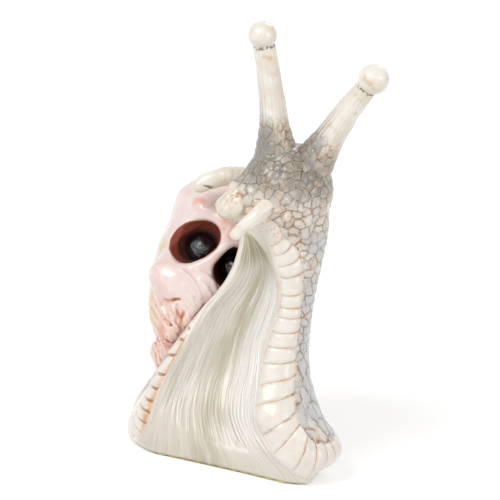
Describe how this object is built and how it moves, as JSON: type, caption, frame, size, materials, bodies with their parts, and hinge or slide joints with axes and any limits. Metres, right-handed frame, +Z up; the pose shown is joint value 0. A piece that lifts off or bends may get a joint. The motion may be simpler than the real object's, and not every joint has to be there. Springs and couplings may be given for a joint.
{
  "type": "snail figurine",
  "caption": "Free-standing resin ornament of a reared snail with ribbed sole, plated fringes, tall eyestalks and a fleshy skull with black bead eyes in place of its shell.",
  "frame": {"origin": "on the resting surface, under the middle of the whole figure's box", "axes": "+Z up from the resting surface, -Y towards the viewer who sees the ribbed sole, +X to that viewer's right"},
  "size_m": [0.0722, 0.079, 0.1449],
  "materials": {
    "painted_resin_body": "hand-painted cast resin, ivory and grey scales with a rust wash, gloss varnish",
    "painted_resin_flesh": "hand-painted cast resin, pale pink flesh with peach, ochre and dark red washes, gloss varnish",
    "ivory_resin": "hand-painted cast resin, warm ivory, gloss varnish",
    "black_bead": "polished black bead",
    "felt": "thin pressed felt",
    "steel_wire": "bare steel wire",
    "beech_dowel": "turned beech"
  },
  "bodies": {
    "root": {"snail_body": "painted_resin_body", "skull": "painted_resin_flesh", "base_felt": "felt", "eye_bead_left": "black_bead", "eye_bead_right": "black_bead", "eyestalk_left": "ivory_resin", "eyestalk_right": "ivory_resin", "eyestalk_tip_left": "ivory_resin", "eyestalk_tip_right": "ivory_resin", "feeler_left": "ivory_resin", "feeler_right": "ivory_resin", "stalk_wire_left": "steel_wire", "stalk_wire_right": "steel_wire", "skull_dowel_front": "beech_dowel", "skull_dowel_rear": "beech_dowel"}
  },
  "joints": []
}
